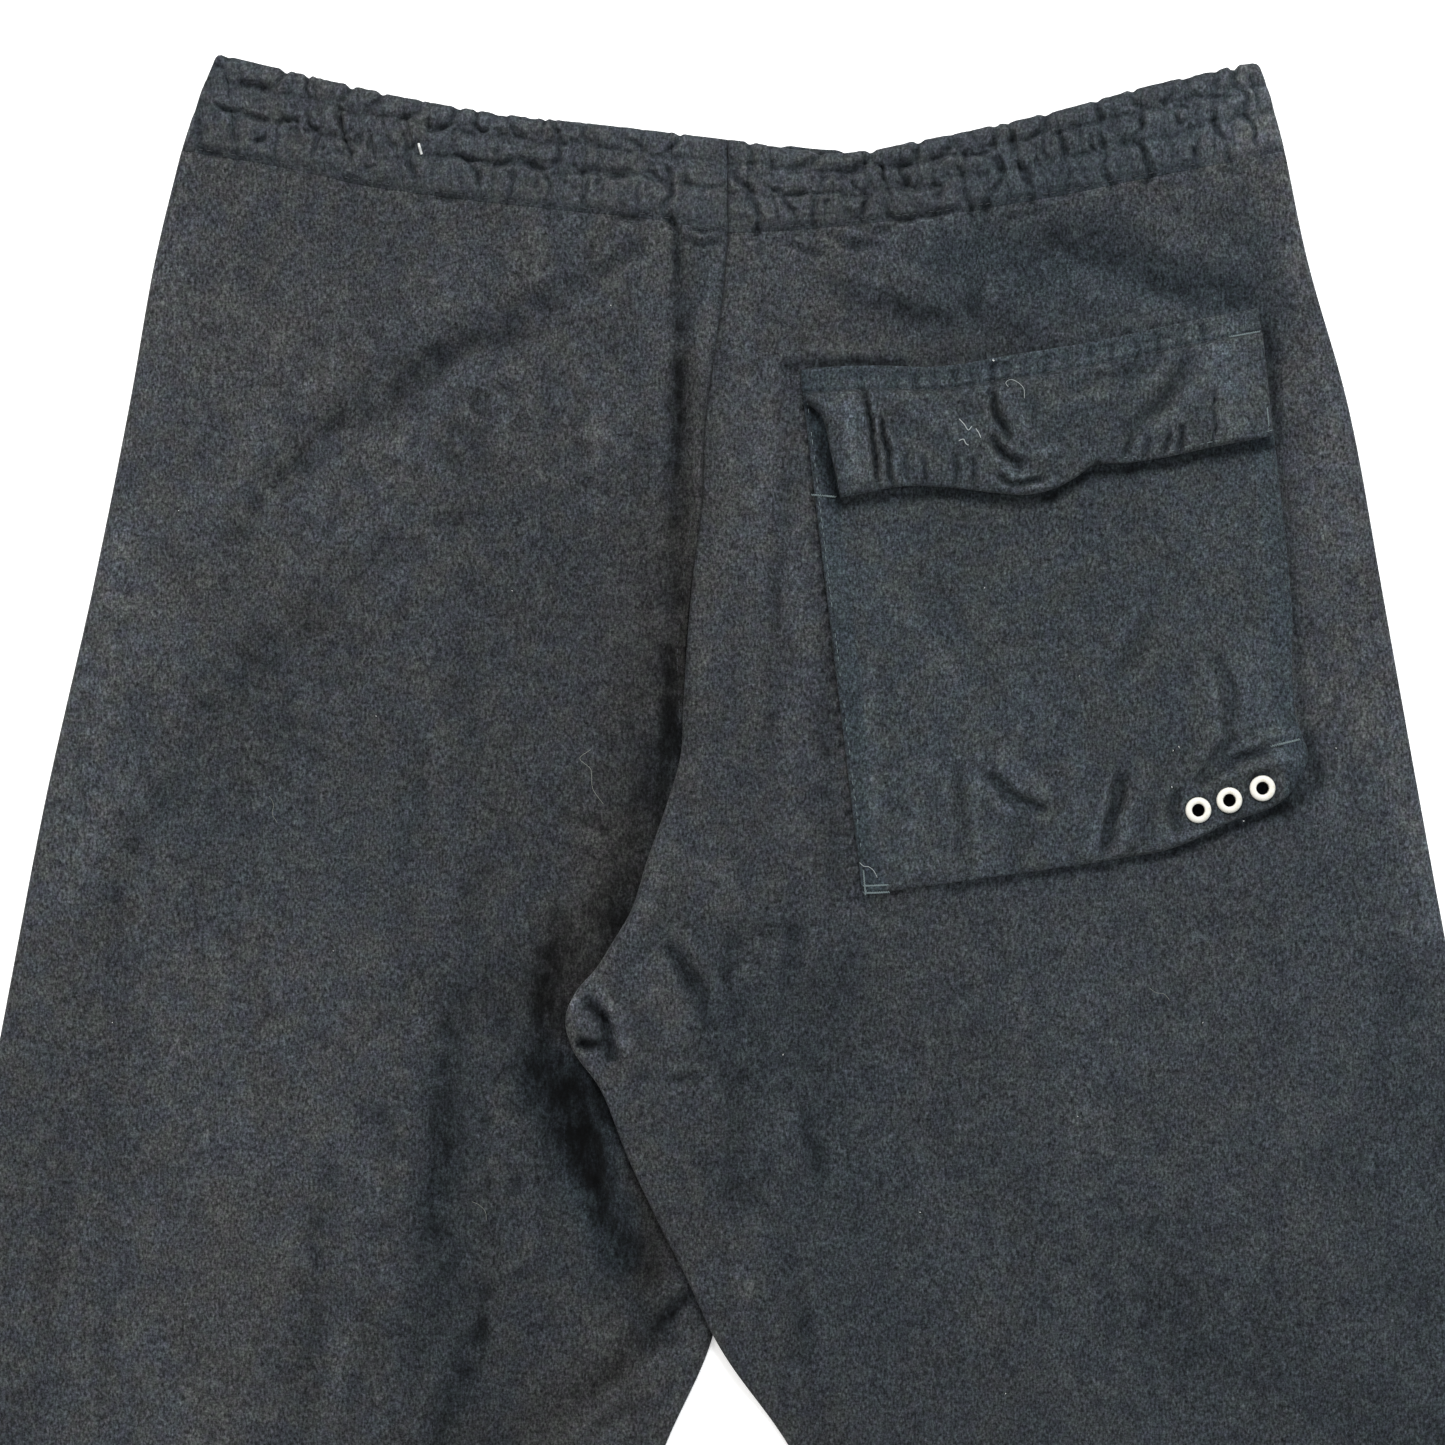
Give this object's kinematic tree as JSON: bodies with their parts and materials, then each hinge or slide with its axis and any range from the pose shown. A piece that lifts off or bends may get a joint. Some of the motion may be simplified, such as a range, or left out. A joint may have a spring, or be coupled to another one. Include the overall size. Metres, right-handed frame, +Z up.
{
  "type": "wool trousers laid flat",
  "caption": "Straight-leg wool trousers laid flat, back upwards, with a gathered elastic waist casing and a flapped patch pocket with enamelled eyelets on the right back.",
  "frame": {"origin": "centre of the bounding box, on the surface that the trousers lie on", "axes": "+X towards the wearer's right leg, +Y from the hems towards the waist, +Z up from the surface, out of the back of the garment"},
  "size_m": [0.783, 1.0332, 0.0095],
  "materials": {
    "wool_flannel": "charcoal melange wool flannel, brushed, matt",
    "wool_casing": "the same flannel, gathered over elastic",
    "pocket_flannel": "the same flannel, pressed flat",
    "eyelet_enamel": "cream enamel, half gloss"
  },
  "bodies": {
    "root": {"back_left": "wool_flannel", "back_right": "wool_flannel", "front_left": "wool_flannel", "front_right": "wool_flannel", "casing_back_left": "wool_casing", "casing_back_right": "wool_casing", "casing_front_left": "wool_casing", "casing_front_right": "wool_casing", "back_pocket": "pocket_flannel", "pocket_flap": "pocket_flannel", "eyelet_1": "eyelet_enamel", "eyelet_2": "eyelet_enamel", "eyelet_3": "eyelet_enamel"}
  },
  "joints": []
}
